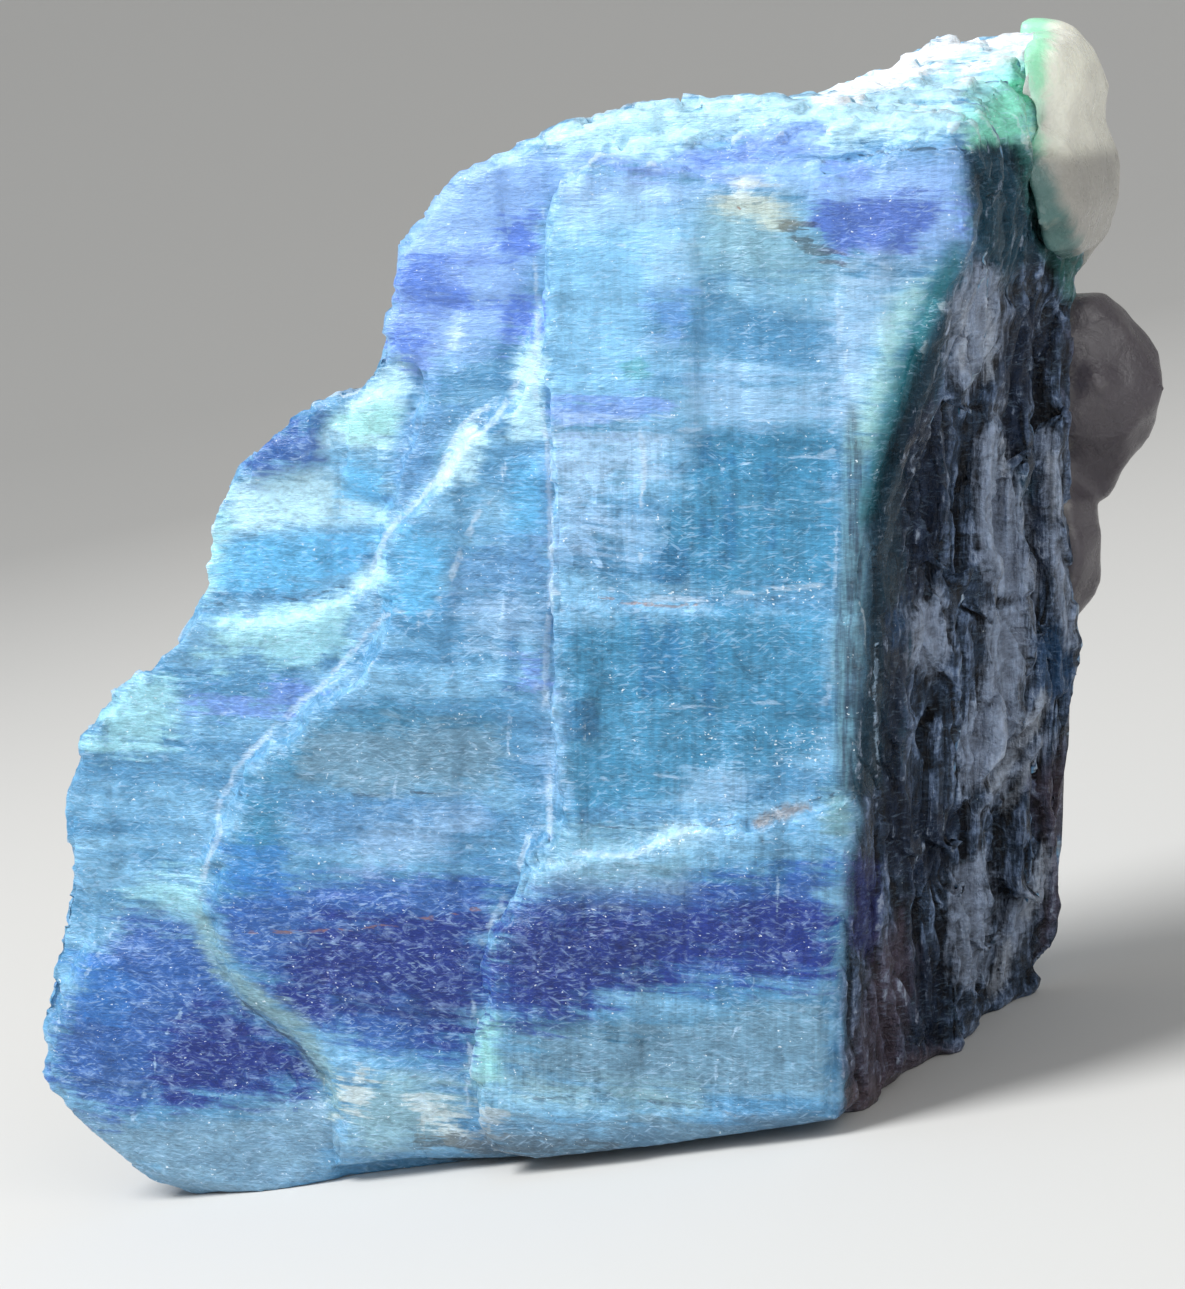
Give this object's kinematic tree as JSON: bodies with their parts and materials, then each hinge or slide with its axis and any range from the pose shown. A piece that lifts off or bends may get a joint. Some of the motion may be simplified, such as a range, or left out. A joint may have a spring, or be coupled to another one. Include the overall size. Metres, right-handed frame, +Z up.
{
  "type": "kyanite mineral specimen",
  "caption": "Loose broken kyanite specimen of intergrown blue blades with stepped faces, a splintery side and quartz on one upper corner, standing on its flat base.",
  "frame": {"origin": "centre of the bounding box at the height of the flat base that it rests on", "axes": "+Z up, +X to the right along the broad blade faces, -Y out of the striated front face"},
  "size_m": [0.0352, 0.0184, 0.0289],
  "materials": {
    "kyanite": "translucent blue, finely striated, satin",
    "quartz": "milky white to grey, waxy"
  },
  "bodies": {
    "root": {"kyanite": "kyanite", "quartz": "quartz"}
  },
  "joints": []
}
